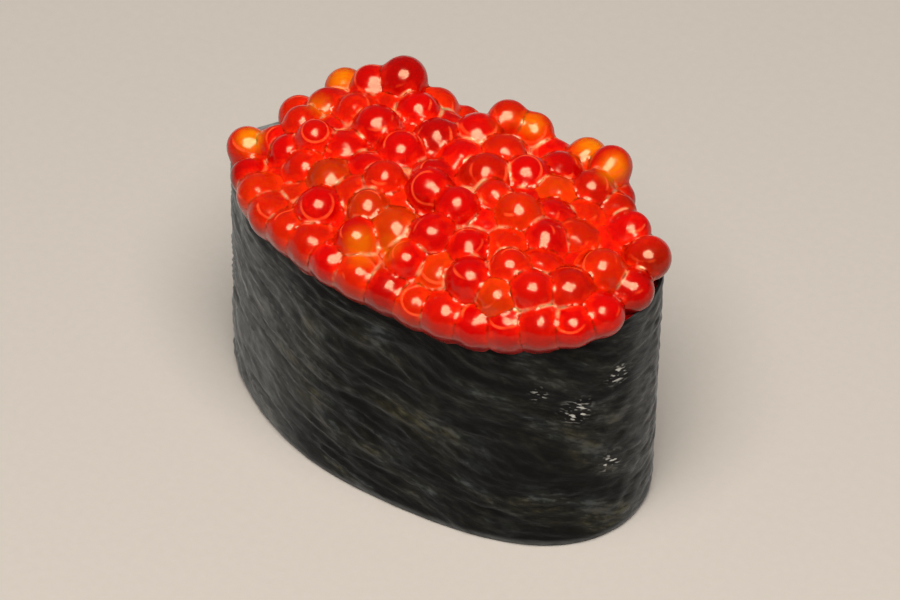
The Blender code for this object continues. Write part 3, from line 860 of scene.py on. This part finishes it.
def press_eggs(mesh, middles, radius):
    """Flattens every egg where it meets a neighbour or the band, and rounds off the grooves.

    Each vertex moves along its line from the egg's middle, out to the smooth skin round all
    eggs; past the plane halfway to a neighbour it tucks in under the neighbour's skin. The
    result is how far each vertex is from the nearest such plane, in millimetres.
    """
    places, owner = skin_places(mesh), skin_owners(mesh)
    margin = np.zeros(len(owner))
    facing = np.zeros_like(places)
    outside = np.zeros(len(owner), bool)
    rims = NORI_HEIGHT + rim_lift(middles[:, 0], middles[:, 1])
    for i in np.unique(owner):
        mine = owner == i
        out = places[mine] - middles[i]
        out = out / np.linalg.norm(out, axis=1)[:, None]
        gaps = np.linalg.norm(middles - middles[i], axis=1) - radius - radius[i]
        around = np.flatnonzero(gaps < 5.0 * BRINE)
        reach = np.full(len(out), radius[i])
        for _ in range(SKIN_STEPS):
            skin, slope = brine_skin(middles[i] + out * reach[:, None], middles[around], radius[around])
            reach = np.clip(reach - 0.8 * skin, radius[i] * 0.5, radius[i] * 1.35)
        others = around[around != i]
        step = middles[others] - middles[i]
        gap = np.linalg.norm(step, axis=1)
        flat = (gap ** 2 + radius[i] ** 2 - radius[others] ** 2) / (2.0 * gap)
        towards = out @ (step / gap[:, None]).T
        past = (reach[:, None] * towards - flat).max(axis=1)
        reach = reach - np.clip(past, 0.0, None) ** 2 / (2.0 * TUCK)
        limit = np.where(towards > 1e-3, (flat + TUCK) / np.maximum(towards, 1e-3), 1.0)
        reach = np.clip(reach, 0.3 * radius[i], limit.min(axis=1))
        if middles[i, 2] < rims[i] + 0.4 * radius[i]:
            for _ in range(RIM_STEPS):
                x, y, z = (middles[i] + out * reach[:, None]).T
                beyond = (oval_size(x, y, NORI_SOLID) - 1.0) * HALF_WIDTH
                through = (beyond > 0.0) & (z < rims[i] + 0.1 * MM + 1.3 * beyond)
                reach = np.where(through, 0.96 * reach, reach)
        margin[mine] = -past / MM
        facing[mine] = slope
        outside[mine] = past < 0.7 * TUCK
        places[mine] = middles[i] + out * reach[:, None]
    mesh.vertices.foreach_set("co", (places + np.array(MIDDLE)).astype(np.float32).ravel())
    mesh.update()
    own_normals = np.zeros(len(owner) * 3, np.float32)
    mesh.vertex_normals.foreach_get("vector", own_normals)
    facing = np.where(outside[:, None], facing, own_normals.reshape(-1, 3))
    mesh.normals_split_custom_set_from_vertices(facing.tolist())
    return margin


# Where the oil is pale and looks amber, and where light through the eggs from behind is painted
# on as amber at the back and the ends: x, y, z, reach in millimetres, and how much
AMBER_AND_BACKLIT_PLACES = (
    (-24.1, -2.9, 33.2, 1.6, 0.9),
    (-20.2, 9.2, 36.1, 1.9, 0.75),
    (-18.4, 9.4, 36.0, 1.5, 0.5),
    (2.1, 11.2, 39.6, 1.9, 0.8),
    (3.4, 13.4, 37.6, 1.6, 0.6),
    (10.8, 14.0, 37.0, 1.8, 0.8),
    (16.2, 11.2, 39.0, 2.0, 0.85),
    (-1.2, -13.6, 36.2, 2.2, 0.6),
    (1.0, -11.8, 36.0, 1.8, 0.4),
    (-19.4, 3.2, 35.4, 1.8, 0.45),
)
# Where shade is painted on as deep red, at the ends and the back of the heap, in the same way
SHADED_PLACES = (
    (-12.6, 11.0, 40.4, 3.2, 0.6),
    (-25.6, 0.2, 30.8, 2.4, 0.6),
    (-23.0, -7.6, 31.0, 2.6, 0.8),
    (-22.0, -9.0, 29.0, 2.6, 0.7),
    (27.4, 2.4, 36.6, 3.0, 0.7),
    (25.4, -0.6, 33.0, 3.0, 0.8),
    (19.0, 9.4, 36.0, 2.2, 0.5),
    (-16.0, 12.0, 37.5, 2.6, 0.4),
    (14.0, 14.0, 34.0, 2.6, 0.5),
)


def roe_material():
    """Cured salmon egg: a wet clear skin over orange-red oil.

    Light spreads inside it, so it glows red with no hard shadow: deep red through the crown,
    orange where two eggs meet and the light comes in from both. The brine gives soft highlights.
    """
    material = bpy.data.materials.new("salmon_egg")
    material.use_nodes = True
    tree = material.node_tree
    shader = tree.nodes["Principled BSDF"]
    shader.inputs["IOR"].default_value = 1.42
    shader.inputs["Specular Tint"].default_value = linear("#FFE6C0")
    shader.inputs["Subsurface Weight"].default_value = 1.0
    shader.inputs["Subsurface Scale"].default_value = 0.5 * MM
    shader.inputs["Subsurface Radius"].default_value = (1.0, 0.12, 0.05)
    shader.inputs["Transmission Weight"].default_value = 0.4
    shader.inputs["Roughness"].default_value = 0.17
    amber_and_backlight, deep_red_and_shade, margin, crown = [
        add_node(tree, "ShaderNodeAttribute", {"attribute_name": name}).outputs["Fac"]
        for name in ("amber_and_backlight", "deep_red_and_shade", "margin", "from_crown")]
    place = add_node(tree, "ShaderNodeTexCoord").outputs["Object"]

    def noise(scale, detail, distortion=0.0):
        return add_node(tree, "ShaderNodeTexNoise", inputs={
            "Vector": place, "Scale": scale, "Detail": detail, "Distortion": distortion}).outputs["Fac"]

    # painted glow of light through the eggs: the crown is deep red, the skin towards a neighbour
    # orange-red, with oil clouds 1.5 mm across
    contact_glow_and_oil = combine(tree, "ADD", remap(tree, margin, 0.0, 1.1, 0.25, -0.15), noise(600.0, 3.0, 0.6))
    body = blend(tree, remap(tree, contact_glow_and_oil, 0.42, 0.85), linear("#B60000"), linear("#DE1A00"))
    # deep red where shade is painted on and on darker eggs at random; amber where the oil is pale and where
    # light from behind is painted on
    oil_with_painted_light = blend(tree, amber_and_backlight, blend(tree, deep_red_and_shade, body, linear("#700000")), linear("#D07C00"))
    # light that has come through the egg gathers in faint broken arcs round its crown
    beside = combine(tree, "ABSOLUTE", combine(tree, "SUBTRACT", crown, 0.8))
    arc = remap(tree, beside, 0.02, 0.1, 1.0, 0.0, "SMOOTHSTEP")
    ring = combine(tree, "MULTIPLY", arc, remap(tree, noise(270.0, 1.0), 0.52, 0.62, 0.0, 0.75))
    glow = blend(tree, ring, oil_with_painted_light, linear("#F05A2C"))
    # painted highlight: the film is thin along the contacts, and there it shines pale in broken
    # lines 0.4 mm wide
    film_highlight_band = remap(tree, combine(tree, "ABSOLUTE", margin), 0.05, 0.36, 1.0, 0.0, "SMOOTHSTEP")
    edge = combine(tree, "MULTIPLY", film_highlight_band, remap(tree, noise(330.0, 2.0), 0.54, 0.66, 0.0, 0.9))
    tree.links.new(blend(tree, edge, glow, linear("#EE9468")), shader.inputs["Base Color"])
    tree.links.new(bumped(tree, noise(650.0, 1.0), 0.35, 0.5 * MM), shader.inputs["Normal"])
    return material


def core_rings():
    """Rings of the core: from the top of the rice, up the wall, and over just under the eggs."""
    points, normals = oval_path(np.arange(CORE_COLUMNS) / CORE_COLUMNS)
    wall = points - (NORI_SOLID + GAP) * normals
    rings = []
    for share in (0.3, 0.6, 0.9, 1.0):
        plan = wall * share
        height = RICE_EDGE_TOP + RICE_CROWN * (1.0 - share ** 2)
        rings.append(np.column_stack([plan, np.full(CORE_COLUMNS, height)]))
    back = np.clip(wall[:, 1] / (0.4 * HALF_WIDTH), 0.0, 1.0)
    sunk = CORE_SUNK + (CORE_SUNK_BACK - CORE_SUNK) * back
    for share in np.linspace(1.0, 0.03, 31):
        plan = wall * share
        top = heap_top(plan[:, 0], plan[:, 1]) - CORE_DEPTH
        rise = NORI_HEIGHT + rim_lift(plan[:, 0], plan[:, 1])
        edge = np.clip((1.0 - share) / (0.12 + 0.18 * back), 0.0, 1.0)
        rings.append(np.column_stack([plan, rise - sunk + (top + sunk) * np.sqrt(edge)]))
    return rings


egg_middles, egg_radii = settle_eggs()
egg_openness = open_spots(egg_middles, egg_radii)
shown_eggs = np.flatnonzero(egg_openness > 0)
rng = np.random.default_rng(EGG_SEED)
egg_turns = rng.uniform(0.0, 2.0 * np.pi, (len(shown_eggs), 3))
egg_points = points_object("egg_points", egg_middles[shown_eggs] + np.array(MIDDLE), {
    "turn": egg_turns, "size": egg_radii[shown_eggs], "egg": shown_eggs.astype(float),
    "plain": (egg_openness[shown_eggs] < PLAIN_BELOW).astype(float)})
salmon_egg = roe_material()
eggs = scattered("salmon_eggs", egg_points, scatter_tree("scatter_eggs"),
                 (1.0, 1.0, 1.0), EGG_DETAIL, salmon_egg)
margins = press_eggs(eggs.data, egg_middles, egg_radii)
owners, skins = skin_owners(eggs.data), skin_places(eggs.data)
paler = np.clip(rng.normal(0.0, 0.05, len(egg_radii)), 0.0, 0.15)
deeper = np.clip(rng.normal(0.05, 0.15, len(egg_radii)), 0.0, 0.4)
crowns = np.array((0.1, -0.3, 1.0)) + rng.normal(0.0, 0.22, (len(egg_radii), 3))
crowns = crowns / np.linalg.norm(crowns, axis=1)[:, None]
outward = skins - egg_middles[owners]
outward = outward / np.linalg.norm(outward, axis=1)[:, None]
set_values(eggs.data, "margin", margins)
from_crown = np.arccos(np.clip((outward * crowns[owners]).sum(axis=1), -1.0, 1.0))
set_values(eggs.data, "from_crown", from_crown)
# amber for pale oil and painted backlight, deep red for darker eggs and painted shade
set_values(eggs.data, "amber_and_backlight", np.maximum(paler[owners], tint_near(skins, AMBER_AND_BACKLIT_PLACES)))
set_values(eggs.data, "deep_red_and_shade", np.maximum(deeper[owners], tint_near(skins, SHADED_PLACES)))
core_top = NORI_HEIGHT + HEAP_EDGE + HEAP_RISE - CORE_DEPTH
roe_core = ring_body("roe_core", core_rings(),
                     (0.0, 0.0, RICE_EDGE_TOP + RICE_CROWN), (0.0, 0.0, core_top))
roe_core.data.materials.append(salmon_egg)
# the core is painted deep red, as shade deep in the heap
set_values(roe_core.data, "margin", np.full(len(roe_core.data.vertices), 2.0))
set_values(roe_core.data, "deep_red_and_shade", np.full(len(roe_core.data.vertices), 0.7))
for piece in (eggs, roe_core):
    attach(piece, "root")
    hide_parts("roe")
